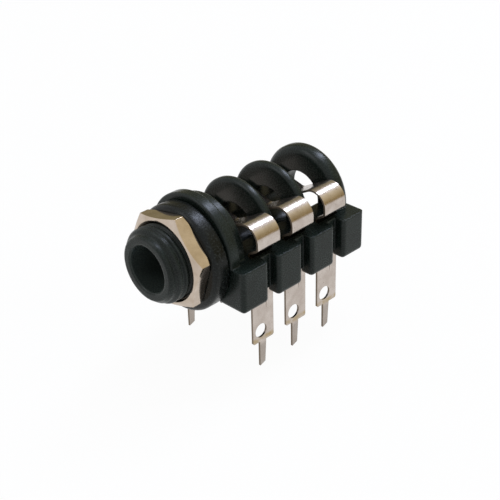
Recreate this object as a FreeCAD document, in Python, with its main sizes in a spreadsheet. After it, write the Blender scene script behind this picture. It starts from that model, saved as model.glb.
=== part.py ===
import FreeCAD, Part
import Sketcher
import math
import os

# Audio jack socket for a 6.35 mm plug: a black moulded housing with a threaded bush, a loose
# washer ring and a hex nut on the bush, three sprung contacts on the near side and three switch
# contacts on the far side. Millimetres. The origin lies on the plug's axis at the flange's front
# face, +X runs the way the plug goes in, +Z is up and the sprung contacts are on the -Y side.

doc = FreeCAD.newDocument("audio_jack_socket")
sizes = doc.addObject("Spreadsheet::Sheet", "sizes")

DRIVING = [
    ("bore_d", 6.5, "hole that the plug slides through"),
    ("bush_wall", 1.6, "wall of the bush between the thread's turns"),
    ("thread_depth", 0.35, "height of the thread's ridge"),
    ("bush_length", 7.5, "flange face to the mouth of the bush"),
    ("lead_in", 1.5, "length of the taper behind the mouth"),
    ("mouth_taper", 0.55, "how far the taper draws the mouth in"),
    ("mouth_edge", 0.2, "chamfer of the bore at the mouth"),
    ("flange_d", 15.2, "flange that bears on the panel"),
    ("flange_t", 1.7, "thickness of the flange"),
    ("flange_edge", 0.3, "rounding of the flange's edges"),
    ("step_inset", 0.75, "how far the step lies inside the flange's rim"),
    ("step_t", 1.55, "thickness of the step behind the flange"),
    ("chamber_relief", 0.17, "how much wider the way through the chambers is than the bore, each side"),
    ("lug_pitch", 6.35, "distance between neighbouring contacts"),
    ("first_lug", 5.55, "flange face to the first contact"),
    ("rear_length", 5.15, "last contact to the rear face"),
    ("divider_d", 13.6, "discs between the chambers"),
    ("divider_t", 1.35, "thickness of a disc"),
    ("divider_edge", 0.55, "rounding of a disc's rim"),
    ("rear_ring_d", 13.9, "thick ring at the rear"),
    ("rear_ring_t", 2.6, "thickness of the rear ring"),
    ("rear_ring_edge", 1.05, "rounding of the rear ring's rim"),
    ("ledge_drop", 0.3, "axis down to the ledges beside the bore"),
    ("base_height", 5.0, "ledges down to the underside between the side blocks"),
    ("foot_height", 0.98, "how far the side blocks reach below the underside"),
    ("block_half_width", 9.6, "axis to the outer face of the side blocks"),
    ("gap_depth", 1.5, "depth of the gap between two side blocks"),
    ("block_gap", 1.7, "width of that gap"),
    ("block_corner", 0.6, "rounding of a block's outer and lower edges"),
    ("strip_t", 0.3, "sheet that the contacts are stamped from"),
    ("strip_width", 4.05, "width of a contact above the housing"),
    ("lug_inset", 2.33, "outer face of the side blocks to the outer face of the lugs"),
    ("lug_width", 3.9, "width of a contact in and below the housing"),
    ("lug_shift", 0.2, "how far a lug stands behind its contact's middle"),
    ("lug_length", 7.62, "side blocks down to the shoulder above the pin"),
    ("lug_corner", 0.3, "rounding of a lug's lower corners"),
    ("slot_clearance", 0.05, "play between a contact and its slot"),
    ("neck_gap", 0.2, "ledge up to where a contact takes its full width"),
    ("wire_hole_d", 2.1, "wire hole in a solder lug"),
    ("wire_hole_rise", 1.75, "shoulder up to the middle of the wire hole"),
    ("wire_hole_shift", 0.25, "how far the wire hole lies in front of the contact's middle"),
    ("pin_length", 3.9, "shoulder down to the tip of a board pin"),
    ("pin_front", 0.5, "contact's middle forwards to the front edge of its pin"),
    ("pin_width", 1.2, "width of a board pin at the shoulder"),
    ("pin_tip_width", 0.95, "width of a board pin near its tip"),
    ("pin_slant", 0.35, "rise of the sheared pin tip across its width"),
    ("short_pin", 0.85, "how much shorter the pins of the ring and tip switch contacts are"),
    ("catch_width", 0.4, "width of the catch lanced out of a lug"),
    ("catch_shift", 1.0, "contact's middle back to the middle of the catch"),
    ("catch_length", 3.6, "length of the catch"),
    ("catch_lift", 0.25, "how far the catch's upper end stands off the lug"),
    ("jog_low", 0.65, "ledge up to where the spring bends outwards"),
    ("jog_rise", 1.0, "height of the spring's slanted step"),
    ("jog_out", 1.58, "how far the step carries the spring outwards"),
    ("hump_z", 2.2, "axis up to the centre of the spring's round hump"),
    ("hump_r", 2.25, "outside radius of the hump"),
    ("dip_angle", 29.5, "slope of the spring from the hump to its nose"),
    ("nose_offset", 1.35, "axis to the nose that presses on the plug"),
    ("nose_r", 0.9, "bend radius of the nose"),
    ("tail_angle", 14.0, "slope of the spring's free end"),
    ("tail_gap", 3.07, "far lugs to the spring's free end"),
    ("bend_r", 0.5, "bend radius of the contacts elsewhere"),
    ("switch_gap", 0.05, "play between a spring's tail and its switch contact"),
    ("switch_overlap", 0.3, "how far the tail reaches past the switch contact's crown"),
    ("switch_tongue", 0.5, "length of the switch contact past its crown"),
    ("switch_fall", 25.0, "slope of the switch contact's bent tip"),
    ("washer_play", 0.7, "radial play of the washer ring on the thread"),
    ("washer_wall", 1.5, "wall of the washer ring"),
    ("washer_t", 2.45, "thickness of the washer ring"),
    ("washer_rest_gap", 0.08, "play left where the washer ring hangs on the thread"),
    ("washer_front_edge", 0.75, "rounding of the washer ring's front rim"),
    ("washer_rear_edge", 0.3, "rounding of the washer ring's rear rim"),
    ("face_gap", 0.06, "play between flange, washer ring and nut"),
    ("nut_play", 0.06, "radial play between nut and thread"),
    ("nut_wall", 0.74, "wall of the hex nut behind its flats"),
    ("nut_t", 2.2, "thickness of the nut"),
    ("nut_turn", 48.0, "angle at which the nut's first corner stands"),
    ("nut_chamfer_angle", 30.0, "slope of the chamfer on the nut's corners"),
    ("nut_face_inset", 0.2, "flats in to the round rim of the nut's front face"),
    ("nut_back_outset", 0.4, "flats out to the round rim of the nut's back face"),
    ("nut_countersink", 0.35, "depth of the countersink in the nut"),
]

# Sizes that follow from the driving ones.
THREAD_ROOT_D = "(sizes.bore_d + 2 * sizes.bush_wall)"
THREAD_CREST_D = f"({THREAD_ROOT_D} + 2 * sizes.thread_depth)"
MOUTH_D = f"({THREAD_ROOT_D} - 2 * sizes.mouth_taper)"
STEP_D = "(sizes.flange_d - 2 * sizes.step_inset)"
CHAMBER_D = "(sizes.bore_d + 2 * sizes.chamber_relief)"
BODY_LENGTH = "(sizes.first_lug + 2 * sizes.lug_pitch + sizes.rear_length)"
LEDGE_Z = "(-sizes.ledge_drop)"
UNDERSIDE_Z = f"({LEDGE_Z} - sizes.base_height)"
FOOT_Z = f"({UNDERSIDE_Z} - sizes.foot_height)"
BASE_HALF_WIDTH = "(sizes.block_half_width - sizes.gap_depth)"
LUG_HALF_SPACING = "(sizes.block_half_width - sizes.lug_inset)"
SHOULDER_Z = f"({FOOT_Z} - sizes.lug_length)"
PIN_TIP_Z = f"({SHOULDER_Z} - sizes.pin_length)"
TAIL_END_Y = f"({LUG_HALF_SPACING} - sizes.tail_gap)"
SWITCH_CROWN_Y = f"({TAIL_END_Y} - sizes.switch_overlap)"
SWITCH_END_Y = f"({SWITCH_CROWN_Y} - sizes.switch_tongue)"
WASHER_HOLE_D = f"({THREAD_CREST_D} + 2 * sizes.washer_play)"
WASHER_D = f"({WASHER_HOLE_D} + 2 * sizes.washer_wall)"
NUT_HOLE_D = f"({THREAD_CREST_D} + 2 * sizes.nut_play)"
NUT_FLATS = f"({NUT_HOLE_D} + 2 * sizes.nut_wall)"

for row, (alias, number, meaning) in enumerate(DRIVING, start=1):
    sizes.set(f"A{row}", meaning)
    sizes.set(f"B{row}", str(number))
    sizes.setAlias(f"B{row}", alias)
doc.recompute()

CONTACT_NAMES = ["sleeve", "ring", "tip"]
SIDES = {"near": -1, "far": 1}
ALONG_X = FreeCAD.Rotation(FreeCAD.Vector(0, 1, 0), 90)


def value(formula):
    """The number that a formula over the sheet's sizes gives now."""
    return float(sizes.evalExpression(formula))


def bind(thing, formulas):
    """Tie properties of a thing to formulas over the sheet's sizes."""
    for path, formula in formulas.items():
        thing.setExpression(path, formula)
    return thing


def cylinder(name, start, diameter, length):
    """A cylinder along X that begins at a given place on the axis."""
    thing = doc.addObject("Part::Cylinder", name)
    thing.Placement = FreeCAD.Placement(FreeCAD.Vector(), ALONG_X)
    return bind(thing, {"Radius": f"({diameter}) / 2", "Height": length, "Placement.Base.x": start})


def cone(name, start, first_diameter, last_diameter, length):
    """A cone along X whose diameter changes from its start to its end."""
    thing = doc.addObject("Part::Cone", name)
    thing.Placement = FreeCAD.Placement(FreeCAD.Vector(), ALONG_X)
    return bind(thing, {"Radius1": f"({first_diameter}) / 2", "Radius2": f"({last_diameter}) / 2",
                        "Height": length, "Placement.Base.x": start})


def box(name, low, size):
    """A box from its lowest corner and its three lengths, all given as formulas."""
    thing = doc.addObject("Part::Box", name)
    return bind(thing, {"Length": size[0], "Width": size[1], "Height": size[2],
                        "Placement.Base.x": low[0], "Placement.Base.y": low[1],
                        "Placement.Base.z": low[2]})


def fuse(name, things):
    whole = doc.addObject("Part::MultiFuse", name)
    whole.Shapes = things
    whole.Refine = True
    return whole


def cut(name, base, tool):
    rest = doc.addObject("Part::Cut", name)
    rest.Base = base
    rest.Tool = tool
    rest.Refine = True
    return rest


def common(name, things):
    shared = doc.addObject("Part::MultiCommon", name)
    shared.Shapes = things
    shared.Refine = True
    return shared


def rounded(name, base, radius, wanted):
    """A fillet on the edges whose middle point passes a test."""
    doc.recompute()
    smooth = doc.addObject("Part::Fillet", name)
    smooth.Base = base
    chosen = []
    for index, edge in enumerate(base.Shape.Edges, start=1):
        middle = edge.valueAt((edge.FirstParameter + edge.LastParameter) / 2)
        if wanted(edge, middle):
            chosen.append((index, radius, radius))
    smooth.Edges = chosen
    return smooth


def is_rim(edge):
    """True for a round edge, and not for the seam along a cylinder."""
    return edge.Curve.TypeId == "Part::GeomCircle"


def plate(name, corners, low_y, depth):
    """A flat plate whose outline stands in the XZ plane, given as formulas for its corners."""
    outline = doc.addObject("Sketcher::SketchObject", name + "_outline")
    outline.Placement.Rotation = FreeCAD.Rotation(FreeCAD.Vector(1, 0, 0), 90)
    places = [FreeCAD.Vector(value(along), value(height), 0) for along, height in corners]
    for index, place in enumerate(places):
        outline.addGeometry(Part.LineSegment(place, places[(index + 1) % len(places)]))
    for index, (along, height) in enumerate(corners):
        outline.addConstraint(Sketcher.Constraint("Coincident", index - 1 if index else len(corners) - 1, 2, index, 1))
        for kind, formula in (("DistanceX", along), ("DistanceY", height)):
            rule = Sketcher.Constraint(kind, -1, 1, index, 1, value(formula))
            outline.setExpression(f"Constraints[{outline.addConstraint(rule)}]", formula)
    thing = doc.addObject("Part::Extrusion", name)
    thing.Base = outline
    thing.DirMode = "Custom"
    thing.Dir = FreeCAD.Vector(0, 1, 0)
    thing.Solid = True
    return bind(thing, {"LengthFwd": depth, "Placement.Base.y": low_y})


def disc(name, start, diameter, thickness, radius):
    """A disc on the axis with both rims rounded."""
    plain = cylinder(name + "_blank", start, diameter, thickness)
    return rounded(name, plain, radius, lambda edge, middle: is_rim(edge))


def lug_x(index):
    """The middle of a contact along the housing, as a formula."""
    return f"(sizes.first_lug + {index} * sizes.lug_pitch)"


def lug_left(index):
    """The front edge of a contact's lug."""
    return f"({lug_x(index)} + sizes.lug_shift - sizes.lug_width / 2)"


# The housing is one moulding. Bush, flange, discs and ring share the plug's axis, and the base with
# its side blocks carries the contacts.

def threaded_bush():
    straight = cylinder("bush_straight", "sizes.lead_in - sizes.bush_length", THREAD_ROOT_D,
                        "sizes.bush_length - sizes.lead_in + sizes.flange_t / 2")
    taper = cone("bush_taper", "-sizes.bush_length", MOUTH_D, THREAD_ROOT_D, "sizes.lead_in")
    return [straight, taper]


def stepped_flange():
    flange = disc("flange", "0", "sizes.flange_d", "sizes.flange_t", value("sizes.flange_edge"))
    step = disc("flange_step", "sizes.flange_t / 2", STEP_D, "sizes.flange_t / 2 + sizes.step_t",
                value("sizes.flange_edge"))
    return [flange, step]


def dividers():
    discs = []
    for index in range(len(CONTACT_NAMES) - 1):
        start = f"{lug_x(index)} + sizes.lug_pitch / 2 - sizes.divider_t / 2"
        discs.append(disc(f"divider_{index + 1}", start, "sizes.divider_d", "sizes.divider_t",
                          value("sizes.divider_edge")))
    return discs


def rear_ring():
    return disc("rear_ring", f"{BODY_LENGTH} - sizes.rear_ring_t", "sizes.rear_ring_d",
                "sizes.rear_ring_t", value("sizes.rear_ring_edge"))


def runs_across(edge):
    """True for a straight edge that runs from side to side."""
    return abs(edge.tangentAt(edge.FirstParameter).y) > 0.9


def base():
    """The long base under the bore, with a shallow hollow underneath between its two end walls."""
    blank = box("base_blank", ("0", f"-{BASE_HALF_WIDTH}", FOOT_Z),
                (BODY_LENGTH, f"2 * {BASE_HALF_WIDTH}", "sizes.base_height + sizes.foot_height"))
    bottom = value(FOOT_Z)
    solid = rounded("base_soft", blank, value("sizes.block_corner"),
                    lambda edge, middle: runs_across(edge) and abs(middle.z - bottom) < 1e-6)
    front = f"({lug_left(0)} - sizes.slot_clearance)"
    rear = f"({lug_left(len(CONTACT_NAMES) - 1)} + sizes.lug_width + sizes.slot_clearance)"
    under = f"(2 * {BASE_HALF_WIDTH} + 2 * sizes.strip_t)"
    hollow = box("base_hollow", (front, f"-{under} / 2", f"{FOOT_Z} - sizes.strip_t"),
                 (f"{rear} - {front}", under, "sizes.foot_height + sizes.strip_t"))
    return cut("base", solid, hollow)


def side_blocks(side, sign):
    """Four blocks along one side, with a gap in front of every contact. Only their tops and backs are sharp."""
    bottom, top = value(FOOT_Z), value(LEDGE_Z)
    outer = sign * value("sizes.block_half_width")

    def soft_edge(edge, middle):
        low = abs(middle.z - bottom) < 1e-6
        return low and runs_across(edge) or abs(middle.y - outer) < 1e-6 and middle.z < top - 1e-6

    depth = "(sizes.gap_depth + sizes.strip_t)"
    low_y = "-sizes.block_half_width" if sign < 0 else f"sizes.block_half_width - {depth}"
    blocks = []
    for index in range(len(CONTACT_NAMES) + 1):
        first, last = index == 0, index == len(CONTACT_NAMES)
        start = "0" if first else f"({lug_x(index - 1)} + sizes.block_gap / 2)"
        end = BODY_LENGTH if last else f"({lug_x(index)} - sizes.block_gap / 2)"
        name = f"{side}_block_{index + 1}"
        blank = box(name + "_blank", (start, low_y, FOOT_Z),
                    (f"{end} - {start}", depth, "sizes.base_height + sizes.foot_height"))
        blocks.append(rounded(name, blank, value("sizes.block_corner"), soft_edge))
    return blocks


def contact_slots():
    """A slot through the base for every contact, a little larger than its strip."""
    slots = []
    for side, sign in SIDES.items():
        outer = f"({LUG_HALF_SPACING} + sizes.slot_clearance)"
        depth = "(sizes.strip_t + 2 * sizes.slot_clearance)"
        low_y = f"-{outer}" if sign < 0 else f"{outer} - {depth}"
        for index, name in enumerate(CONTACT_NAMES):
            low_x = f"{lug_left(index)} - sizes.slot_clearance"
            slots.append(box(f"{side}_slot_{name}", (low_x, low_y, f"{UNDERSIDE_Z} - sizes.strip_t"),
                             ("sizes.lug_width + 2 * sizes.slot_clearance", depth,
                              "sizes.base_height + 2 * sizes.strip_t")))
    return slots


def plug_way():
    """The bore through the bush, and the wider way through the chambers and out at the rear."""
    bore = cylinder("bore", "-sizes.bush_length - sizes.mouth_edge", "sizes.bore_d",
                    "sizes.bush_length + sizes.mouth_edge + sizes.flange_t + sizes.step_t")
    mouth = cone("mouth_chamfer", "-sizes.bush_length", "sizes.bore_d + 2 * sizes.mouth_edge",
                 "sizes.bore_d", "sizes.mouth_edge")
    chambers = cylinder("chamber_way", "sizes.flange_t + sizes.step_t", CHAMBER_D, BODY_LENGTH)
    return [bore, mouth, chambers]


def housing():
    blocks = [block for side, sign in SIDES.items() for block in side_blocks(side, sign)]
    round_parts = threaded_bush() + stepped_flange() + dividers() + [rear_ring()]
    solid = fuse("housing_solid", round_parts + [base()] + blocks)
    hollow = fuse("housing_hollow", plug_way() + contact_slots())
    return cut("housing", solid, hollow)


# A contact is stamped from sheet and bent. Its section is a path across the housing, drawn as corners
# with a bend radius at each, and given half the sheet's thickness to each side.

def direction(corner, following):
    step = FreeCAD.Vector(0, following[0] - corner[0], following[1] - corner[1])
    return step.normalize()


def left_of(heading):
    """The unit vector to the left of a heading, seen from the +X side."""
    return FreeCAD.Vector(0, -heading.z, heading.y)


def bent_side(path, shift):
    """The edges of one side of a bent strip: straight runs joined by arcs about the bend centres."""
    edges = []
    heading = direction(path[0], path[1])
    start = FreeCAD.Vector(0, path[0][0], path[0][1]) + left_of(heading) * shift
    for index in range(1, len(path)):
        y, z, radius = path[index]
        corner = FreeCAD.Vector(0, y, z)
        if index == len(path) - 1:
            edges.append(Part.LineSegment(start, corner + left_of(heading) * shift).toShape())
            break
        ahead = direction(path[index], path[index + 1])
        turn = math.atan2(heading.cross(ahead).x, heading.dot(ahead))
        inward = math.copysign(1, turn)
        tangent = corner - heading * radius * math.tan(abs(turn) / 2)
        centre = tangent + left_of(heading) * radius * inward
        to_corner = (corner - centre).normalize()
        arc_start = tangent + left_of(heading) * shift
        arc_middle = centre + to_corner * (radius - inward * shift)
        arc_end = centre - left_of(ahead) * inward * (radius - inward * shift)
        edges.append(Part.LineSegment(start, arc_start).toShape())
        edges.append(Part.Arc(arc_start, arc_middle, arc_end).toShape())
        start = arc_end
        heading = ahead
    return edges


def bent_strip(path):
    """The strip as a solid from X = 0 on, twice as wide as the contact that is cut from it."""
    half = value("sizes.strip_t") / 2
    sides = [bent_side(path, half), bent_side(path, -half)]
    caps = []
    for end in (0, -1):
        corners = [side[end].Vertexes[end].Point for side in sides]
        caps.append(Part.LineSegment(*corners).toShape())
    outline = Part.Wire(Part.__sortEdges__(sides[0] + sides[1] + caps))
    return Part.Face(outline).extrude(FreeCAD.Vector(value("2 * sizes.strip_width"), 0, 0))


def hump_middle_radius():
    return value("sizes.hump_r - sizes.strip_t / 2")


def hump_middle_y():
    return value(f"sizes.hump_r - {LUG_HALF_SPACING} - sizes.jog_out")


def nose_height():
    """Height where the slope down from the hump crosses the nose's place."""
    dip = math.radians(value("sizes.dip_angle"))
    leave_y = hump_middle_y() + hump_middle_radius() * math.sin(dip)
    leave_z = value("sizes.hump_z") + hump_middle_radius() * math.cos(dip)
    return leave_z + (value("sizes.nose_offset") + leave_y) * math.tan(dip)


def tail_height(place_y):
    """Height of the spring's middle line between its nose and its free end."""
    rise = math.tan(math.radians(value("sizes.tail_angle")))
    return nose_height() + (place_y + value("sizes.nose_offset")) * rise


def spring_path():
    """From the pin up through the slot, out to the hump, down to the nose and up to the free end."""
    bend = value("sizes.bend_r")
    dip = math.radians(value("sizes.dip_angle"))
    radius = hump_middle_radius()
    lug_y = value(f"sizes.strip_t / 2 - {LUG_HALF_SPACING}")
    outer_y = hump_middle_y() - radius
    jog_z = value(f"{LEDGE_Z} + sizes.jog_low")
    peak_z = value("sizes.hump_z") + radius * math.tan((math.pi / 2 + dip) / 2)
    end_y = value(TAIL_END_Y)
    return [
        (lug_y, value(PIN_TIP_Z), 0),
        (lug_y, jog_z, bend),
        (outer_y, jog_z + value("sizes.jog_rise"), bend),
        (outer_y, peak_z, radius),
        (-value("sizes.nose_offset"), nose_height(), value("sizes.nose_r")),
        (end_y, tail_height(end_y), 0),
    ]


def switch_path():
    """From the pin up through the slot and in under the spring's free end, its tip bent down."""
    lug_y = value(f"{LUG_HALF_SPACING} - sizes.strip_t / 2")
    rise = math.radians(value("sizes.tail_angle"))
    crown_y = value(SWITCH_CROWN_Y)
    crown_z = tail_height(crown_y) - value("sizes.strip_t + sizes.switch_gap") / math.cos(rise)
    slope = math.tan(math.radians(value("sizes.switch_fall")))
    return [
        (lug_y, value(PIN_TIP_Z), 0),
        (lug_y, crown_z, value("sizes.bend_r")),
        (crown_y, crown_z, value("sizes.bend_r")),
        (value(SWITCH_END_Y), crown_z - value("sizes.switch_tongue") * slope, 0),
    ]


def pin_tip(index, sign):
    """Height of a pin's tip. The far pins of the ring and tip contacts end higher than the others."""
    return f"({PIN_TIP_Z} + sizes.short_pin)" if sign > 0 and index > 0 else PIN_TIP_Z


def contact_outline(index, tip):
    """Corners of a flattened contact: strip, narrower lug, shoulders and a pin with a sheared tip."""
    middle = lug_x(index)
    strip_left, strip_right = f"{middle} - sizes.strip_width / 2", f"{middle} + sizes.strip_width / 2"
    left, right = lug_left(index), f"{lug_left(index)} + sizes.lug_width"
    pin_left = f"{middle} - sizes.pin_front"
    neck = f"{LEDGE_Z} + sizes.neck_gap"
    top = "sizes.hump_z + sizes.hump_r + sizes.strip_t"
    return [
        (strip_left, top), (strip_left, neck),
        (left, neck), (left, SHOULDER_Z),
        (pin_left, SHOULDER_Z), (pin_left, tip),
        (f"{pin_left} + sizes.pin_tip_width", f"{tip} + sizes.pin_slant"),
        (f"{pin_left} + sizes.pin_width", SHOULDER_Z),
        (right, SHOULDER_Z), (right, neck),
        (strip_right, neck), (strip_right, top),
    ]


def wire_hole(label, index, low_y, depth):
    hole = doc.addObject("Part::Cylinder", label + "_hole")
    hole.Placement.Rotation = FreeCAD.Rotation(FreeCAD.Vector(1, 0, 0), -90)
    return bind(hole, {"Radius": "sizes.wire_hole_d / 2", "Height": depth,
                       "Placement.Base.x": f"{lug_x(index)} - sizes.wire_hole_shift", "Placement.Base.y": low_y,
                       "Placement.Base.z": f"{SHOULDER_Z} + sizes.wire_hole_rise"})


def catch(label, index, sign):
    """The catch lanced out of a lug, whose upper end stands out under the housing."""
    wedge = doc.addObject("Part::Wedge", label + "_catch")
    turn = FreeCAD.Rotation(FreeCAD.Vector(1, 0, 0), 90)
    if sign > 0:
        turn = FreeCAD.Rotation(FreeCAD.Vector(0, 0, 1), 180) * turn
    wedge.Placement.Rotation = turn
    wedge.X2min = 0
    wedge.Z2min = 0
    inner = "sizes.strip_t / 2"
    return bind(wedge, {
        "Xmax": "sizes.catch_width", "X2max": "sizes.catch_width", "Ymax": "sizes.catch_length",
        "Zmax": inner, "Z2max": f"{inner} + sizes.catch_lift",
        "Placement.Base.x": f"{lug_x(index)} + sizes.catch_shift + {sign} * sizes.catch_width / 2",
        "Placement.Base.y": f"{sign} * ({LUG_HALF_SPACING} - {inner})",
        "Placement.Base.z": f"{UNDERSIDE_Z} - 2 * sizes.slot_clearance - sizes.catch_length",
    })


def contact(label, index, path, sign, low_y, high_y):
    """One contact: the bent strip, cut to its outline, pierced for a wire and given its catch."""
    strip = doc.addObject("Part::Feature", label + "_strip")
    strip.Shape = bent_strip(path)
    strip.Placement.Base = FreeCAD.Vector(value(f"{lug_x(index)} - sizes.strip_width"), 0, 0)
    depth = f"{high_y} - ({low_y})"
    blank = plate(label + "_blank", contact_outline(index, pin_tip(index, sign)), low_y, depth)
    pierced = cut(label + "_pierced", common(label + "_trimmed", [strip, blank]),
                  wire_hole(label, index, low_y, depth))
    shoulder, left = value(SHOULDER_Z), value(lug_left(index))
    right = left + value("sizes.lug_width")

    def lug_corner(edge, middle):
        outer = abs(middle.x - left) < 1e-6 or abs(middle.x - right) < 1e-6
        return outer and abs(middle.z - shoulder) < 1e-6

    soft = rounded(label + "_soft", pierced, value("sizes.lug_corner"), lug_corner)
    return fuse(label, [soft, catch(label, index, sign)])


def contacts():
    springs = []
    switches = []
    for index, name in enumerate(CONTACT_NAMES):
        springs.append(contact(f"{name}_spring_contact", index, spring_path(), SIDES["near"],
                               "-sizes.block_half_width", f"{TAIL_END_Y} + sizes.strip_t"))
        switches.append(contact(f"{name}_switch_contact", index, switch_path(), SIDES["far"],
                                f"{SWITCH_END_Y} - sizes.strip_t", "sizes.block_half_width"))
    return springs + switches


# The washer ring is loose on the thread, so it hangs from the thread's top and its centre lies low.

def washer_ring():
    washer_front = "-sizes.face_gap - sizes.washer_t"
    blank = cylinder("washer_blank", washer_front, WASHER_D, "sizes.washer_t")
    front = value(washer_front)

    def front_rim(edge, middle):
        return is_rim(edge) and abs(middle.x - front) < 1e-6

    def rear_rim(edge, middle):
        return is_rim(edge) and abs(middle.x + value("sizes.face_gap")) < 1e-6

    soft_front = rounded("washer_soft_front", blank, value("sizes.washer_front_edge"), front_rim)
    soft = rounded("washer_soft", soft_front, value("sizes.washer_rear_edge"), rear_rim)
    hole = cylinder("washer_hole", washer_front, WASHER_HOLE_D, "sizes.washer_t")
    washer = cut("washer_ring", soft, hole)
    return bind(washer, {"Placement.Base.z": "sizes.washer_rest_gap - sizes.washer_play"})


# The nut is a thin hexagon with both faces chamfered round, so that the chamfer scallops its flats.

def hex_nut():
    front = "-2 * sizes.face_gap - sizes.washer_t - sizes.nut_t"
    hexagon = doc.addObject("Part::Prism", "nut_hexagon")
    hexagon.Polygon = 6
    turn = FreeCAD.Rotation(FreeCAD.Vector(0, 0, 1), value("sizes.nut_turn") + 90)
    hexagon.Placement = FreeCAD.Placement(FreeCAD.Vector(), ALONG_X * turn)
    bind(hexagon, {"Circumradius": f"{NUT_FLATS} / sqrt(3)", "Height": "sizes.nut_t",
                   "Placement.Base.x": front})
    face_d = f"({NUT_FLATS} - 2 * sizes.nut_face_inset)"
    back_d = f"({NUT_FLATS} + 2 * sizes.nut_back_outset)"
    spread = "2 * sizes.nut_t / tan(sizes.nut_chamfer_angle * 1 deg)"
    front_cone = cone("nut_front_cone", front, face_d, f"{face_d} + {spread}", "sizes.nut_t")
    back_cone = cone("nut_back_cone", front, f"{back_d} + {spread}", back_d, "sizes.nut_t")
    solid = common("nut_solid", [hexagon, front_cone, back_cone])

    wide_d = f"{NUT_HOLE_D} + 2 * sizes.nut_countersink"
    hole = cylinder("nut_hole", front, NUT_HOLE_D, "sizes.nut_t")
    front_sink = cone("nut_front_sink", front, wide_d, NUT_HOLE_D, "sizes.nut_countersink")
    back_sink = cone("nut_back_sink", f"{front} + sizes.nut_t - sizes.nut_countersink", NUT_HOLE_D, wide_d,
                     "sizes.nut_countersink")
    return cut("hex_nut", solid, fuse("nut_hollow", [hole, front_sink, back_sink]))


def check_document():
    """Stop if any object of the document failed to compute."""
    for thing in doc.Objects:
        bad = [state for state in thing.State if state in ("Invalid", "Error")]
        if bad:
            raise RuntimeError(f"{thing.Name} is {bad}")


def check_piece(piece):
    """Stop if a piece has no shape, a faulty shape or no volume."""
    shape = piece.Shape
    if shape.isNull() or not shape.isValid() or shape.Volume <= 0:
        raise RuntimeError(f"{piece.Label} has no valid shape")
    print(piece.Label, "solids", len(shape.Solids), "volume", round(shape.Volume, 2))


pieces = [housing(), washer_ring(), hex_nut()] + contacts()
for piece in pieces:
    piece.Label = piece.Name
doc.recompute()
check_document()
os.makedirs("parts", exist_ok=True)
for piece in pieces:
    check_piece(piece)
    piece.Shape.exportStep(f"parts/{piece.Label}.step")
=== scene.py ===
# %% [markdown]
# The object is a socket for a 6.35 mm audio plug, the kind that sits at the edge of a circuit board
# and pokes its threaded bush through a panel. One black moulding carries everything: the bush, the
# flange, three open chambers and two rows of side blocks. A loose washer ring and a thin hex nut sit
# on the bush. Three sprung contacts and three switch contacts hang below as solder lugs with pins.
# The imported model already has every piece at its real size, so this lesson dresses it: each surface
# gets the finish of the real material, and the fine screw thread is built here.

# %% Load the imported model
import math

import bmesh
import bpy
from mathutils import Matrix, Vector


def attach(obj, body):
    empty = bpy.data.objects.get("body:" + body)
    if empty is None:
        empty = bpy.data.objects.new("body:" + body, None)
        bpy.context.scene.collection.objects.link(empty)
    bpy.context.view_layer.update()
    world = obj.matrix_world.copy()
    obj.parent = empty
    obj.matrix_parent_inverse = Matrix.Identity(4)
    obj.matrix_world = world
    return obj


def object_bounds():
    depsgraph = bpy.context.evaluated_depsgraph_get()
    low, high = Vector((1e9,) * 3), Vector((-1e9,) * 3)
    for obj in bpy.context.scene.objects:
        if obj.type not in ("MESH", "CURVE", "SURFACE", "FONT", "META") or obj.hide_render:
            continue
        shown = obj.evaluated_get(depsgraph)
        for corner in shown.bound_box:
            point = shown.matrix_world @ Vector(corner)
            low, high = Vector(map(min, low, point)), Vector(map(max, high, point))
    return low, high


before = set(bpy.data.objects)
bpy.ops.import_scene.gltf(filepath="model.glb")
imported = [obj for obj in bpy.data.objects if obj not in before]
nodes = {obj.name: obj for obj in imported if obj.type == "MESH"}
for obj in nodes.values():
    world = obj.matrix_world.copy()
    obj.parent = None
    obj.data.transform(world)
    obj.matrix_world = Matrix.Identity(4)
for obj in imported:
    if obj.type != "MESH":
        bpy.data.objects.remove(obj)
CAD_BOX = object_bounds()
print("nodes:", ", ".join(sorted(nodes)))

# %% [markdown]
# Sizes are easiest to read in millimetres, colours as the hex values that a paint program shows, and
# a pattern as the size of one grain. Small helpers turn those into what Blender wants: metres, linear
# colour, and a texture scale in grains per metre. One more function adds a shader node with its
# settings and its links, because every finish below is a short chain of nodes. The Mix node has a
# set of sockets for each kind of value, so its colour sockets are picked by their numbers.

# %% Units, colours and nodes
MM = 0.001
MIX_FACTOR, MIX_A, MIX_B, MIX_OUT = 0, 6, 7, 2


def linear(hex_colour):
    """An sRGB hex colour as the linear RGBA that the shaders expect."""
    channels = [int(hex_colour[i:i + 2], 16) / 255 for i in (1, 3, 5)]
    return [c / 12.92 if c <= 0.04045 else ((c + 0.055) / 1.055) ** 2.4 for c in channels] + [1.0]


def grains(size_mm):
    """The texture scale whose pattern repeats about every so many millimetres."""
    return 1 / (size_mm * MM)


def add(tree, kind, inputs=None, **settings):
    """A new node with its settings, and its inputs set to values or linked to other sockets."""
    made = tree.nodes.new(kind)
    for name, value in settings.items():
        setattr(made, name, value)
    for name, value in (inputs or {}).items():
        if isinstance(value, bpy.types.NodeSocket):
            tree.links.new(value, made.inputs[name])
        else:
            made.inputs[name].default_value = value
    return made


def blank_material(name):
    """A material with a bare Principled shader: the material, its node tree and the shader."""
    made = bpy.data.materials.new(name)
    made.use_nodes = True
    return made, made.node_tree, made.node_tree.nodes["Principled BSDF"]


print("one grain of 0.2 mm is a texture scale of", round(grains(0.2)))
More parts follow.
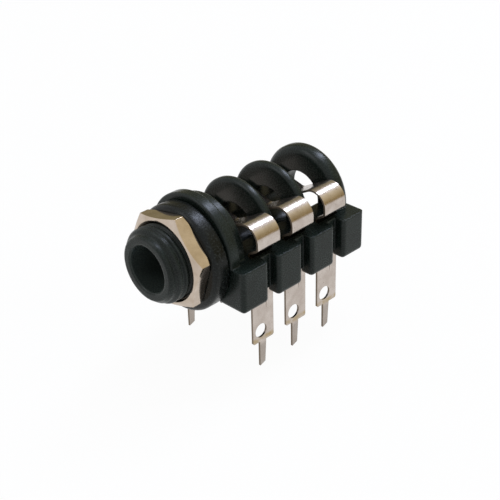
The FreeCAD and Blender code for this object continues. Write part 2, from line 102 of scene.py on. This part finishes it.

# %% [markdown]
# Edges are where a surface shows its age: plastic is rubbed paler there, which on the nylon is partly
# a painted highlight, and plating is thinnest there. The Bevel shader node gives the normal that a
# rounded edge would have. Where that differs from the plain normal there is an edge, so the dot
# product of the two, which falls below one there, makes a mask of the edges. It starts faintly, at an
# eighth of the drop at which it is full. It needs no painted map and works on any mesh.

# %% A mask of the edges
BEVEL_SAMPLES = 6
FAINT_SHARE = 1 / 8


def edge_mask(tree, reach_mm, drop):
    """The rounded normal, and a mask of the edges: full where the dot product has dropped by drop."""
    bevel = add(tree, "ShaderNodeBevel", {"Radius": reach_mm * MM}, samples=BEVEL_SAMPLES)
    round_normal = bevel.outputs["Normal"]
    plain_normal = add(tree, "ShaderNodeNewGeometry").outputs["Normal"]
    same = add(tree, "ShaderNodeVectorMath", {0: round_normal, 1: plain_normal}, operation="DOT_PRODUCT")
    mask = add(tree, "ShaderNodeMapRange", {"Value": same.outputs["Value"],
                                            "From Min": 1.0 - drop * FAINT_SHARE,
                                            "From Max": 1.0 - drop})
    return round_normal, mask.outputs["Result"]


# %% [markdown]
# The housing is glass-filled nylon, injection moulded in a spark-eroded steel tool. The glass fibres
# near the skin scatter the light, so the black is satin, with a weak shine that only wakes up at a
# low angle. Cloudy patches show where the melt flowed, and the spark-eroded tool leaves a fine pitted
# skin. The real pits are about 0.03 mm wide, well under a pixel here, so they are drawn at 0.2 mm,
# the finest that still reads as a moulded skin. The fibres under the skin make it mirror less than
# clear nylon would, which the low specular level says. Edges are burnished, so they are smoother, and
# paler, which is partly wear and partly a painted highlight. The washer ring is the same family of
# plastic from another tool, with a coarser, speckled face, so one function makes both from their own
# numbers. The wall of the bore, inside a radius of 3.33 mm, is painted the same pale grey: painted
# light, which stands in for light reaching into the bore. A noise seldom leaves the middle of its
# range, so each pattern is stretched from there, by the same two ranges in every material.

# %% Moulded nylon
MID_RANGE = {"From Min": 0.35, "From Max": 0.65}
WIDE_RANGE = {"From Min": 0.3, "From Max": 0.7}
RUBBED_SPECKS = {"From Min": 0.55, "From Max": 0.75, "To Max": 0.35}
FLOW_MM, SINK_DEPTH_MM = 2.4, 0.03
BORE_LIGHT_R_MM = 3.33
ACROSS_THE_AXIS = (0, 1, 1)
NYLON_IOR = 1.53
SKIN_SHINE = 0.17
BURNISH = 0.05


def moulded_nylon(name, dark, light, rubbed_and_lit, gloss, pit_mm, pit_depth_mm):
    """Black nylon: gloss is the range of its roughness, pit_mm the size of a pit in its skin."""
    made, tree, shader = blank_material(name)
    where = add(tree, "ShaderNodeTexCoord").outputs["Object"]
    round_normal, edge = edge_mask(tree, reach_mm=0.35, drop=0.12)
    flow = add(tree, "ShaderNodeTexNoise", {"Vector": where, "Scale": grains(FLOW_MM), "Detail": 4.0})
    pits = add(tree, "ShaderNodeTexNoise", {"Vector": where, "Scale": grains(pit_mm), "Detail": 3.0})

    patch = add(tree, "ShaderNodeMapRange", {"Value": flow.outputs["Fac"], **MID_RANGE})
    black = add(tree, "ShaderNodeMix", {MIX_FACTOR: patch.outputs["Result"], MIX_A: linear(dark),
                                        MIX_B: linear(light)}, data_type="RGBA")
    speck = add(tree, "ShaderNodeMapRange", {"Value": pits.outputs["Fac"], **RUBBED_SPECKS})
    # The edges turn patchily paler: partly wear, and partly a painted highlight.
    rub = add(tree, "ShaderNodeMath", {0: edge, 1: flow.outputs["Fac"]}, operation="MULTIPLY")
    pale = add(tree, "ShaderNodeMath", {0: rub.outputs["Value"], 1: speck.outputs["Result"]},
               operation="MAXIMUM")

    # Painted light: inside the bore the pale colour stands in for light reaching into it.
    sideways = add(tree, "ShaderNodeVectorMath", {0: where, 1: ACROSS_THE_AXIS}, operation="MULTIPLY")
    radius = add(tree, "ShaderNodeVectorMath", {0: sideways.outputs["Vector"]}, operation="LENGTH")
    bore = add(tree, "ShaderNodeMath", {0: radius.outputs["Value"], 1: BORE_LIGHT_R_MM * MM},
               operation="LESS_THAN")
    wear_and_painted_light = add(tree, "ShaderNodeMath", {0: pale.outputs["Value"], 1: bore.outputs["Value"]},
               operation="MAXIMUM")
    colour = add(tree, "ShaderNodeMix", {MIX_FACTOR: wear_and_painted_light.outputs["Value"],
                                         MIX_A: black.outputs[MIX_OUT],
                                         MIX_B: linear(rubbed_and_lit)}, data_type="RGBA")
    tree.links.new(colour.outputs[MIX_OUT], shader.inputs["Base Color"])

    shine = add(tree, "ShaderNodeMapRange", {"Value": pits.outputs["Fac"], **WIDE_RANGE,
                                             "To Min": gloss[0], "To Max": gloss[1]})
    smoother = add(tree, "ShaderNodeMath", {0: edge, 1: -BURNISH, 2: shine.outputs["Result"]},
                   operation="MULTIPLY_ADD")
    tree.links.new(smoother.outputs["Value"], shader.inputs["Roughness"])
    shader.inputs["IOR"].default_value = NYLON_IOR
    shader.inputs["Specular IOR Level"].default_value = SKIN_SHINE

    sink = add(tree, "ShaderNodeBump", {"Height": flow.outputs["Fac"], "Distance": SINK_DEPTH_MM * MM,
                                        "Strength": 0.4, "Normal": round_normal})
    skin = add(tree, "ShaderNodeBump", {"Height": pits.outputs["Fac"], "Distance": pit_depth_mm * MM,
                                        "Strength": 0.6, "Normal": sink.outputs["Normal"]})
    tree.links.new(skin.outputs["Normal"], shader.inputs["Normal"])
    print("material:", name)
    return made


# The pale colour is wear on the edges, partly a painted highlight there, and painted light in the bore.
housing_nylon = moulded_nylon("glass_filled_nylon", dark="#151c18", light="#1d2521", rubbed_and_lit="#3a413d",
                              gloss=(0.2, 0.34), pit_mm=0.2, pit_depth_mm=0.007)
washer_nylon = moulded_nylon("unfilled_nylon", dark="#0b0f0d", light="#101412", rubbed_and_lit="#4b504d",
                             gloss=(0.2, 0.4), pit_mm=0.28, pit_depth_mm=0.022)

# %% [markdown]
# The nut is turned and milled from brass bar and then barrel-plated with nickel. Thin nickel over
# brass is a warm grey with a touch of gold. Tumbling in the barrel polishes the flats until they
# mirror what stands next to them, while the lathe's feed leaves faint rings on the two faces. The
# rings of a real tool feed are 0.1 mm apart, under a pixel, so they are drawn 0.25 mm apart. On the
# edges the nickel is rubbed thin, and the brass shows.

# %% Nickel-plated brass of the nut
TARNISH_MM, TARNISH_DEPTH_MM = 1.7, 0.02
SCUFF_MM = 0.35
RING_SPACING_MM, RING_DEPTH_MM = 0.25, 0.002
WAVE_PERIOD = math.pi / 10
BRASS_SHARE = 0.5
TUMBLED_GLOSS = {"To Min": 0.07, "To Max": 0.15}


def nickel_plated_brass():
    """Bright tumbled nickel with faint turning rings. A wave texture repeats every pi/10 at scale 1."""
    made, tree, shader = blank_material("nickel_plated_brass")
    where = add(tree, "ShaderNodeTexCoord").outputs["Object"]
    round_normal, edge = edge_mask(tree, reach_mm=0.1, drop=0.2)
    tarnish = add(tree, "ShaderNodeTexNoise", {"Vector": where, "Scale": grains(TARNISH_MM),
                                               "Detail": 4.0})
    scuffs = add(tree, "ShaderNodeTexNoise", {"Vector": where, "Scale": grains(SCUFF_MM), "Detail": 3.0})
    rings = add(tree, "ShaderNodeTexWave", {"Vector": where, "Distortion": 0.4,
                                            "Scale": grains(RING_SPACING_MM) * WAVE_PERIOD},
                wave_type="RINGS", rings_direction="X")

    patch = add(tree, "ShaderNodeMapRange", {"Value": tarnish.outputs["Fac"], **MID_RANGE})
    nickel = add(tree, "ShaderNodeMix", {MIX_FACTOR: patch.outputs["Result"], MIX_A: linear("#c4b6a9"),
                                         MIX_B: linear("#b3a494")}, data_type="RGBA")
    rub = add(tree, "ShaderNodeMath", {0: edge, 1: BRASS_SHARE}, operation="MULTIPLY")
    colour = add(tree, "ShaderNodeMix", {MIX_FACTOR: rub.outputs["Value"],
                                         MIX_A: nickel.outputs[MIX_OUT],
                                         MIX_B: linear("#b59a60")}, data_type="RGBA")
    tree.links.new(colour.outputs[MIX_OUT], shader.inputs["Base Color"])
    shader.inputs["Metallic"].default_value = 1.0

    haze = add(tree, "ShaderNodeMapRange", {"Value": scuffs.outputs["Fac"], **WIDE_RANGE,
                                            **TUMBLED_GLOSS})
    tree.links.new(haze.outputs["Result"], shader.inputs["Roughness"])
    tumbled = add(tree, "ShaderNodeBump", {"Height": tarnish.outputs["Fac"],
                                           "Distance": TARNISH_DEPTH_MM * MM,
                                           "Strength": 0.3, "Normal": round_normal})
    turned = add(tree, "ShaderNodeBump", {"Height": rings.outputs["Fac"],
                                          "Distance": RING_DEPTH_MM * MM,
                                          "Strength": 0.3, "Normal": tumbled.outputs["Normal"]})
    tree.links.new(turned.outputs["Normal"], shader.inputs["Normal"])
    print("material:", made.name)
    return made


nut_nickel = nickel_plated_brass()

# %% [markdown]
# Three marks lie on the contacts, each at a known height. Making and handling have left two of them.
# Solder flux has crept into a warm stain under the wire hole, strongest in the middle of its band.
# The pins, below the lug's shoulder, are duller than the lug. The third is painted shade: below each
# hump, where the strip dips behind the base, on the near side only, the strip is painted dark. Each
# mark is a colour that is mixed in by a mask made from the point's own place, so no map is painted
# and the marks stay put in every view.

# %% Marks on the contacts
FLUX_TOP_MM, FLUX_MIDDLE_MM, FLUX_BOTTOM_MM = -12.9, -13.4, -14.2
SHOULDER_MM, SHOULDER_FADE_MM, DULL_SHARE = -13.9, 0.6, 0.55
# Painted shade: the strip is painted dark below each hump on the near side, where it lies in shade.
SHADE_TOP_MM, SHADE_FULL_MM, SHADE_END_MM = 0.7, 0.3, -4.0


def flux_stain(tree, height, patch, clean):
    """The colour with a patchy warm stain in a band under the wire hole."""
    rise = add(tree, "ShaderNodeMapRange", {"Value": height, "From Min": FLUX_BOTTOM_MM * MM,
                                            "From Max": FLUX_MIDDLE_MM * MM})
    fall = add(tree, "ShaderNodeMapRange", {"Value": height, "From Min": FLUX_TOP_MM * MM,
                                            "From Max": FLUX_MIDDLE_MM * MM})
    band = add(tree, "ShaderNodeMath", {0: rise.outputs["Result"], 1: fall.outputs["Result"]},
               operation="MULTIPLY")
    flux = add(tree, "ShaderNodeMath", {0: band.outputs["Value"], 1: patch}, operation="MULTIPLY")
    stained = add(tree, "ShaderNodeMix", {MIX_FACTOR: flux.outputs["Value"], MIX_A: clean,
                                          MIX_B: linear("#a58f5e")}, data_type="RGBA")
    return stained.outputs[MIX_OUT]


def dull_pins(tree, height, clean):
    """The colour with the duller grey of the pins below the lug's shoulder."""
    low = add(tree, "ShaderNodeMapRange", {"Value": height, "From Min": SHOULDER_MM * MM,
                                           "From Max": (SHOULDER_MM - SHOULDER_FADE_MM) * MM,
                                           "To Max": DULL_SHARE})
    dull = add(tree, "ShaderNodeMix", {MIX_FACTOR: low.outputs["Result"], MIX_A: clean,
                                       MIX_B: linear("#8d857d")}, data_type="RGBA")
    return dull.outputs[MIX_OUT]


def painted_shade_under_humps(tree, place, clean):
    """The colour with painted shade on the near side, from below the humps down into the base."""
    under = add(tree, "ShaderNodeMapRange", {"Value": place["Z"], "From Min": SHADE_TOP_MM * MM,
                                             "From Max": SHADE_FULL_MM * MM})
    near_side = add(tree, "ShaderNodeMath", {0: place["Y"], 1: 0.0}, operation="LESS_THAN")
    above_end = add(tree, "ShaderNodeMath", {0: place["Z"], 1: SHADE_END_MM * MM},
                    operation="GREATER_THAN")
    here = add(tree, "ShaderNodeMath", {0: near_side.outputs["Value"], 1: above_end.outputs["Value"]},
               operation="MULTIPLY")
    painted_shade = add(tree, "ShaderNodeMath", {0: under.outputs["Result"], 1: here.outputs["Value"]},
                operation="MULTIPLY")
    # The dark brown is painted shade where the strip lies in shadow under the hump.
    shaded_under_humps = add(tree, "ShaderNodeMix", {MIX_FACTOR: painted_shade.outputs["Value"], MIX_A: clean,
                                        MIX_B: linear("#2c2924")}, data_type="RGBA")
    return shaded_under_humps.outputs[MIX_OUT]


print("flux between", FLUX_TOP_MM, "and", FLUX_BOTTOM_MM, "mm, pins dull below", SHOULDER_MM, "mm")

# %% [markdown]
# The contacts are stamped from rolled phosphor bronze strip that was plated with nickel before the
# press cut it. Rolling and plating leave the faces bright and smooth, with a few faint lines along
# the strip. The cut edges have no plating, so they are darker and browner than the faces, and torn
# rougher by the press. The faces that look along the axis are the cut ones, so the normal finds
# them. The rolling lines are really 0.02 mm apart and are drawn ten times as coarse, and stretched
# nine times along the strip.

# %% Nickel-plated bronze of the contacts
CLOUD_MM, CLOUD_DEPTH_MM = 1.5, 0.02
ROLLING_MM, ROLLING_DEPTH_MM, ROLLING_STRETCH = 0.2, 0.001, 9
SPECK_MM = 0.3
DIRT_SPECKS = {"From Min": 0.68, "From Max": 0.76, "To Max": 0.6}
ROLLED_GLOSS = {"To Min": 0.2, "To Max": 0.27}
CUT_FACES = {"From Min": 0.75, "From Max": 0.95}
BARE_SHARE = 0.75
TORN_ROUGHNESS = 0.4


def nickel_plated_bronze():
    """Bright rolled strip with bare sheared edges, the marks of soldering and use, and painted shade."""
    made, tree, shader = blank_material("nickel_plated_bronze")
    coordinates = add(tree, "ShaderNodeTexCoord").outputs
    where = coordinates["Object"]
    round_normal, edge = edge_mask(tree, reach_mm=0.06, drop=0.3)
    along_strip = (1, 1 / ROLLING_STRETCH, 1 / ROLLING_STRETCH)
    stretched = add(tree, "ShaderNodeMapping", {"Vector": where, "Scale": along_strip})
    cloud = add(tree, "ShaderNodeTexNoise", {"Vector": where, "Scale": grains(CLOUD_MM), "Detail": 4.0})
    rolled = add(tree, "ShaderNodeTexNoise", {"Vector": stretched.outputs["Vector"],
                                              "Scale": grains(ROLLING_MM), "Detail": 2.0})
    specks = add(tree, "ShaderNodeTexNoise", {"Vector": where, "Scale": grains(SPECK_MM), "Detail": 2.0})

    patch = add(tree, "ShaderNodeMapRange", {"Value": cloud.outputs["Fac"], **MID_RANGE})
    nickel = add(tree, "ShaderNodeMix", {MIX_FACTOR: patch.outputs["Result"], MIX_A: linear("#c4bab2"),
                                         MIX_B: linear("#b4a9a0")}, data_type="RGBA")
    place = add(tree, "ShaderNodeSeparateXYZ", {"Vector": where}).outputs
    stained = flux_stain(tree, place["Z"], patch.outputs["Result"], nickel.outputs[MIX_OUT])
    dirt = add(tree, "ShaderNodeMapRange", {"Value": specks.outputs["Fac"], **DIRT_SPECKS})
    dirty = add(tree, "ShaderNodeMix", {MIX_FACTOR: dirt.outputs["Result"], MIX_A: stained,
                                        MIX_B: linear("#7d6c5c")}, data_type="RGBA")
    dull = dull_pins(tree, place["Z"], dirty.outputs[MIX_OUT])
    # Painted shade is mixed in under the humps.
    shaded_under_humps = painted_shade_under_humps(tree, place, dull)

    across = add(tree, "ShaderNodeSeparateXYZ", {"Vector": coordinates["Normal"]}).outputs["X"]
    sideways = add(tree, "ShaderNodeMath", {0: across}, operation="ABSOLUTE")
    sheared = add(tree, "ShaderNodeMapRange", {"Value": sideways.outputs["Value"], **CUT_FACES})
    bare = add(tree, "ShaderNodeMath", {0: sheared.outputs["Result"], 1: edge}, operation="MAXIMUM")
    share = add(tree, "ShaderNodeMath", {0: bare.outputs["Value"], 1: BARE_SHARE}, operation="MULTIPLY")
    colour = add(tree, "ShaderNodeMix", {MIX_FACTOR: share.outputs["Value"], MIX_A: shaded_under_humps,
                                         MIX_B: linear("#675844")}, data_type="RGBA")
    tree.links.new(colour.outputs[MIX_OUT], shader.inputs["Base Color"])
    shader.inputs["Metallic"].default_value = 1.0

    haze = add(tree, "ShaderNodeMapRange", {"Value": rolled.outputs["Fac"], **WIDE_RANGE,
                                            **ROLLED_GLOSS})
    torn = add(tree, "ShaderNodeMath", {0: sheared.outputs["Result"], 1: TORN_ROUGHNESS,
                                        2: haze.outputs["Result"]}, operation="MULTIPLY_ADD")
    tree.links.new(torn.outputs["Value"], shader.inputs["Roughness"])
    wavy = add(tree, "ShaderNodeBump", {"Height": cloud.outputs["Fac"], "Distance": CLOUD_DEPTH_MM * MM,
                                        "Strength": 0.25, "Normal": round_normal})
    lines = add(tree, "ShaderNodeBump", {"Height": rolled.outputs["Fac"],
                                         "Distance": ROLLING_DEPTH_MM * MM,
                                         "Strength": 0.3, "Normal": wavy.outputs["Normal"]})
    tree.links.new(lines.outputs["Normal"], shader.inputs["Normal"])
    print("material:", made.name)
    return made


strip_nickel = nickel_plated_bronze()

# %% [markdown]
# A node keeps the mesh that it came with, and only its material slot changes. A moulded or stamped
# edge is never perfectly sharp: it has a tiny round that catches a thread of light. A Bevel modifier
# adds that round as real geometry without touching the mesh under it, so it also shows in outline.

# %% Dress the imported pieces
EDGE_ROUND_MM = {"housing": 0.1, "washer_ring": 0.05, "hex_nut": 0.06}
CONTACT_EDGE_MM = 0.08
SHARP_ANGLE = math.radians(40)


def dress(name, finish):
    """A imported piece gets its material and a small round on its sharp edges."""
    piece = nodes[name]
    piece.data.materials.clear()
    piece.data.materials.append(finish)
    soft = piece.modifiers.new("edge", "BEVEL")
    soft.width = EDGE_ROUND_MM.get(name, CONTACT_EDGE_MM) * MM
    soft.segments = 2
    soft.limit_method = "ANGLE"
    soft.angle_limit = SHARP_ANGLE
    soft.harden_normals = True
    print("dressed:", name, "with", finish.name)


dress("housing", housing_nylon)
dress("washer_ring", washer_nylon)
dress("hex_nut", nut_nickel)
for contact_name in sorted(nodes):
    if contact_name.endswith("_contact"):
        dress(contact_name, strip_nickel)

# %% [markdown]
# The bush carries a moulded screw thread of 1 mm pitch that begins right at the mouth. A thread is a
# ridge that climbs one pitch for each turn, so the radius at a point depends only on how far along
# the axis it is, less its share of a turn. A grid of points round the bush, each pushed out by that
# rule, gives the whole thread with its start on the taper and its run-out, where a modifier chain
# would need a trimmed spiral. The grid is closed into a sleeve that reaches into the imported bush, and
# between the ridges it stands a hair proud of the bush's own surface, which is the thread's root.

# %% The thread on the bush
PITCH_MM = 1.0
ROOT_R_MM, CREST_R_MM = 4.87, 5.2
MOUTH_X_MM, MOUTH_R_MM = -7.48, 4.33
LEAD_IN_MM, ENTRY_SLOPE = 1.5, 0.8
THREAD_END_X_MM = -0.05
CREST_SHARE, ROOT_SHARE = 0.24, 0.2
THREAD_START_TURN = 0.55
SLEEVE_INSIDE = 0.9
ROUND_STEPS, ALONG_STEPS = 160, 300


def thread_radius(along, turn):
    """Radius of the threaded bush, in mm, at a place along it and a share of a turn round it."""
    from_mouth = along - MOUTH_X_MM
    root = min(ROOT_R_MM, MOUTH_R_MM + from_mouth * (ROOT_R_MM - MOUTH_R_MM) / LEAD_IN_MM)
    crest = min(CREST_R_MM, MOUTH_R_MM + from_mouth * ENTRY_SLOPE)
    from_crest = abs((from_mouth / PITCH_MM - turn - THREAD_START_TURN) % 1 - 0.5) * 2
    flank = (1 - ROOT_SHARE - from_crest) / (1 - ROOT_SHARE - CREST_SHARE)
    ridge = min(1, max(0, flank))
    return root + (crest - root) * ridge * ridge * (3 - 2 * ridge)


def thread_rows(shape):
    """Rings of points along the bush, from its mouth to the flange."""
    rows = []
    for i in range(ALONG_STEPS + 1):
        along = MOUTH_X_MM + (THREAD_END_X_MM - MOUTH_X_MM) * i / ALONG_STEPS
        row = []
        for j in range(ROUND_STEPS):
            turn = j / ROUND_STEPS
            radius = thread_radius(along, turn)
            angle = 2 * math.pi * turn
            place = Vector((along, -radius * math.sin(angle), radius * math.cos(angle)))
            row.append(shape.verts.new(place * MM))
        rows.append(row)
    return rows


def bush_thread():
    """The thread as a closed sleeve: rows of points round the bush, joined by four-sided faces."""
    shape = bmesh.new()
    rows = thread_rows(shape)
    inner = []
    for row in (rows[0], rows[-1]):
        inner.append([shape.verts.new((v.co.x, v.co.y * SLEEVE_INSIDE, v.co.z * SLEEVE_INSIDE))
                      for v in row])
    loops = [inner[0]] + rows + [inner[1]]
    for first, second in list(zip(loops, loops[1:])) + [(inner[1], inner[0])]:
        for j in range(ROUND_STEPS):
            k = (j + 1) % ROUND_STEPS
            shape.faces.new((first[j], first[k], second[k], second[j]))
    bmesh.ops.recalc_face_normals(shape, faces=shape.faces)
    mesh = bpy.data.meshes.new("bush_thread")
    shape.to_mesh(mesh)
    shape.free()
    mesh.polygons.foreach_set("use_smooth", [True] * len(mesh.polygons))
    piece = bpy.data.objects.new("bush_thread", mesh)
    bpy.context.scene.collection.objects.link(piece)
    piece.data.materials.append(housing_nylon)
    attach(piece, "socket")
    turns = (THREAD_END_X_MM - MOUTH_X_MM) / PITCH_MM
    print("thread: turns", round(turns, 1), "faces", len(mesh.polygons))


bush_thread()

# %% [markdown]
# The floor is a pale table at the height of the pins' tips. A catalogue picture has a white ground
# that is brighter than the object's own light would make it. So a ray that meets the floor straight
# from the camera, from a reflection or through something clear sees mostly plain white, and only a
# little of the lit table. That keeps a soft shadow under the pins and adds no light to the object.

# %% Floor
PIN_TIP_Z = CAD_BOX[0].z
WHITE_SHARE = 0.96
FLOOR_RADIUS = 3.0
LAMINATE_CLOUD_MM = 30


def seen_as_white(tree):
    """1 for a ray from the camera, from a reflection or through something clear, else 0."""
    rays = add(tree, "ShaderNodeLightPath").outputs
    seen = add(tree, "ShaderNodeMath", {0: rays["Is Camera Ray"], 1: rays["Is Glossy Ray"]},
               operation="MAXIMUM")
    either = add(tree, "ShaderNodeMath", {0: seen.outputs["Value"], 1: rays["Is Transmission Ray"]},
                 operation="MAXIMUM")
    return either.outputs["Value"]


def pale_table():
    """Matt white laminate with faint broad clouds, shown mostly as plain white to the camera."""
    made, tree, shader = blank_material("pale_table")
    where = add(tree, "ShaderNodeTexCoord").outputs["Object"]
    clouds = add(tree, "ShaderNodeTexNoise", {"Vector": where, "Scale": grains(LAMINATE_CLOUD_MM),
                                              "Detail": 2.0})
    colour = add(tree, "ShaderNodeMix", {MIX_FACTOR: clouds.outputs["Fac"], MIX_A: linear("#f1f1ef"),
                                         MIX_B: linear("#f6f6f4")}, data_type="RGBA")
    tree.links.new(colour.outputs[MIX_OUT], shader.inputs["Base Color"])
    shader.inputs["Roughness"].default_value = 0.9
    share = add(tree, "ShaderNodeMath", {0: seen_as_white(tree), 1: WHITE_SHARE}, operation="MULTIPLY")
    white = add(tree, "ShaderNodeEmission", {"Color": linear("#ffffff"), "Strength": 1.0})
    both = add(tree, "ShaderNodeMixShader", {0: share.outputs["Value"], 1: shader.outputs["BSDF"],
                                             2: white.outputs["Emission"]})
    tree.links.new(both.outputs["Shader"], tree.nodes["Material Output"].inputs["Surface"])
    return made


def stage_object(name, shape, finish):
    """An object of the studio, which isn't part of the socket."""
    mesh = bpy.data.meshes.new(name)
    shape.to_mesh(mesh)
    shape.free()
    made = bpy.data.objects.new(name, mesh)
    made.data.materials.append(finish)
    bpy.context.scene.collection.objects.link(made)
    return made


shape = bmesh.new()
bmesh.ops.create_circle(shape, cap_ends=True, segments=64, radius=FLOOR_RADIUS)
floor = stage_object("floor", shape, pale_table())
floor.location.z = PIN_TIP_Z
print("floor at", round(PIN_TIP_Z / MM, 2), "mm")

# %% [markdown]
# Polished metal has no look of its own: it shows the room. The picture's contacts are pale below,
# where they mirror the table, and tan above, where they mirror a warm wall that falls into shade
# towards the back. So a tan wall stands in an arc on the right, outside the picture. Only reflections
# see it, and it lights nothing.

# %% The warm wall
WALL_RADIUS, WALL_HEIGHT = 1.0, 1.0
WALL_REACH = math.radians(80)
WALL_PANELS = 16
DUSK_START_Y, DUSK_END_Y = -0.3, 0.7


def warm_wall():
    """Tan at the table's level and paler towards the top, and darker towards the back."""
    made, tree, shader = blank_material("tan_wall")
    where = add(tree, "ShaderNodeTexCoord").outputs["Object"]
    place = add(tree, "ShaderNodeSeparateXYZ", {"Vector": where}).outputs
    rise = add(tree, "ShaderNodeMapRange", {"Value": place["Z"], "From Min": 0.0,
                                            "From Max": WALL_HEIGHT})
    tan = add(tree, "ShaderNodeMix", {MIX_FACTOR: rise.outputs["Result"], MIX_A: linear("#997e39"),
                                      MIX_B: linear("#fff6d8")}, data_type="RGBA")
    shade = add(tree, "ShaderNodeMapRange", {"Value": place["Y"], "From Min": DUSK_START_Y,
                                             "From Max": DUSK_END_Y})
    dusk = add(tree, "ShaderNodeMix", {MIX_FACTOR: shade.outputs["Result"],
                                       MIX_A: tan.outputs[MIX_OUT],
                                       MIX_B: linear("#9a9275")}, data_type="RGBA")
    glow = add(tree, "ShaderNodeEmission", {"Color": dusk.outputs[MIX_OUT], "Strength": 1.0})
    tree.links.new(glow.outputs["Emission"], tree.nodes["Material Output"].inputs["Surface"])
    tree.nodes.remove(shader)
    return made


shape = bmesh.new()
posts = []
for i in range(WALL_PANELS + 1):
    angle = WALL_REACH * (2 * i / WALL_PANELS - 1)
    foot = Vector((math.cos(angle), math.sin(angle), 0)) * WALL_RADIUS
    posts.append([shape.verts.new(foot), shape.verts.new(foot + Vector((0, 0, WALL_HEIGHT)))])
for near, far in zip(posts, posts[1:]):
    shape.faces.new((near[0], far[0], far[1], near[1]))
wall = stage_object("warm_wall", shape, warm_wall())
wall.location.z = PIN_TIP_Z
wall.visible_camera = False
wall.visible_diffuse = False
wall.visible_shadow = False
print("wall of", WALL_PANELS, "panels,", WALL_HEIGHT, "m high")

# %% [markdown]
# The room around the table is a plain soft light, a little brighter above than below. As with the
# floor, a ray from the camera or from a reflection sees it as plain white instead.

# %% World
ROOM_LEVEL = 0.55
BELOW_TO_ABOVE = {"From Min": -0.2, "From Max": 0.7}

world = bpy.data.worlds.new("studio")
bpy.context.scene.world = world
world.use_nodes = True
tree = world.node_tree
tree.nodes.clear()
direction = add(tree, "ShaderNodeTexCoord").outputs["Generated"]
up = add(tree, "ShaderNodeSeparateXYZ", {"Vector": direction}).outputs["Z"]
rise = add(tree, "ShaderNodeMapRange", {"Value": up, **BELOW_TO_ABOVE})
room = add(tree, "ShaderNodeMix", {MIX_FACTOR: rise.outputs["Result"], MIX_A: linear("#8f8a84"),
                                   MIX_B: linear("#c6c8cc")}, data_type="RGBA")
soft = add(tree, "ShaderNodeBackground", {"Color": room.outputs[MIX_OUT], "Strength": ROOM_LEVEL})
plain = add(tree, "ShaderNodeBackground", {"Color": linear("#ffffff"), "Strength": 1.0})
picked = add(tree, "ShaderNodeMixShader", {0: seen_as_white(tree), 1: soft.outputs["Background"],
                                           2: plain.outputs["Background"]})
add(tree, "ShaderNodeOutputWorld", {"Surface": picked.outputs["Shader"]})
print("world: soft room light, white for the camera and for reflections")

# %% [markdown]
# Four soft boxes light the socket. A small cool one above the rear end draws the bluish patches on
# the rims of the discs and the bright line along each hump, so its size sets how wide they are. A
# long strip straight overhead grazes the flange and the washer ring, and wakes the specks in their
# skin. A broad one low on the near side opens the blacks of the faces that look that way, and leaves
# the faces that look left darker, which gives the row of blocks its depth. Reflections don't see it,
# because it would lay a grey veil over those flat faces. A weak one on the far side of the nut keeps
# the left of the flange and the discs from sinking into black.

# %% Lamps
def soft_box(name, where, size, power, colour):
    """A rectangular lamp that looks at the object: its place and size in metres, its power in watts."""
    lamp = bpy.data.lights.new(name, "AREA")
    lamp.shape = "RECTANGLE"
    lamp.size, lamp.size_y = size
    lamp.energy = power
    lamp.color = linear(colour)[:3]
    made = bpy.data.objects.new(name, lamp)
    made.location = where
    made.rotation_mode = "QUATERNION"
    made.rotation_quaternion = (-Vector(where)).to_track_quat("-Z", "Y")
    bpy.context.scene.collection.objects.link(made)
    print("lamp:", name, power, "W")
    return made


soft_box("rim_light", where=(0.33, 0.04, 0.42), size=(0.11, 0.19), power=0.92, colour="#dbe6ff")
broad = soft_box("broad_light", where=(0.34, -0.42, 0.10), size=(0.36, 0.36), power=1.45, colour="#fffaf2")
broad.visible_glossy = False
soft_box("top_light", where=(0.12, -0.03, 0.50), size=(0.12, 0.34), power=0.95, colour="#dfe8ff")
soft_box("left_light", where=(-0.30, 0.16, 0.36), size=(0.25, 0.25), power=0.42, colour="#f8faff")

# %% [markdown]
# The camera's place was worked out from the photograph: its angle round the object, its height, its
# slight tilt to one side, its distance and its field of view all come from the edges and circles of
# the socket, fitted together. The object isn't in the middle of the picture, so the camera is moved
# sideways by that much, and looks straight ahead.

# %% Camera
AZIMUTH, ELEVATION, ROLL = math.radians(-44.29), math.radians(30.19), math.radians(-1.62)
FOCAL_PX, PICTURE_PX = 1120.05, 500
DISTANCE_MM = 148.32
AXIS_PX = (221.41, 232.52)
AIM_MM = Vector((5.55, 0, 0))

flat = math.cos(ELEVATION)
back = Vector((math.sin(AZIMUTH) * flat, -math.cos(AZIMUTH) * flat, math.sin(ELEVATION)))
level_right = (-back).cross(Vector((0, 0, 1))).normalized()
level_up = level_right.cross(-back)
right = level_right * math.cos(ROLL) + level_up * math.sin(ROLL)
upward = level_up * math.cos(ROLL) - level_right * math.sin(ROLL)
aside = (AXIS_PX[0] - PICTURE_PX / 2) * DISTANCE_MM / FOCAL_PX
above = (PICTURE_PX / 2 - AXIS_PX[1]) * DISTANCE_MM / FOCAL_PX
stand = AIM_MM - right * aside - upward * above + back * DISTANCE_MM

lens = bpy.data.cameras.new("camera")
lens.sensor_width = 36
lens.lens = FOCAL_PX / PICTURE_PX * lens.sensor_width
lens.clip_start = 0.01
lens.clip_end = 20
camera = bpy.data.objects.new("camera", lens)
turned = Matrix((right, upward, back)).transposed().to_4x4()
camera.matrix_world = Matrix.Translation(stand * MM) @ turned
bpy.context.scene.collection.objects.link(camera)
bpy.context.scene.camera = camera
print("camera at", [round(c, 1) for c in stand], "mm, lens", round(lens.lens, 1), "mm")

# %% [markdown]
# The Standard view shows a colour as it is written.

bpy.context.scene.view_settings.view_transform = "Standard"
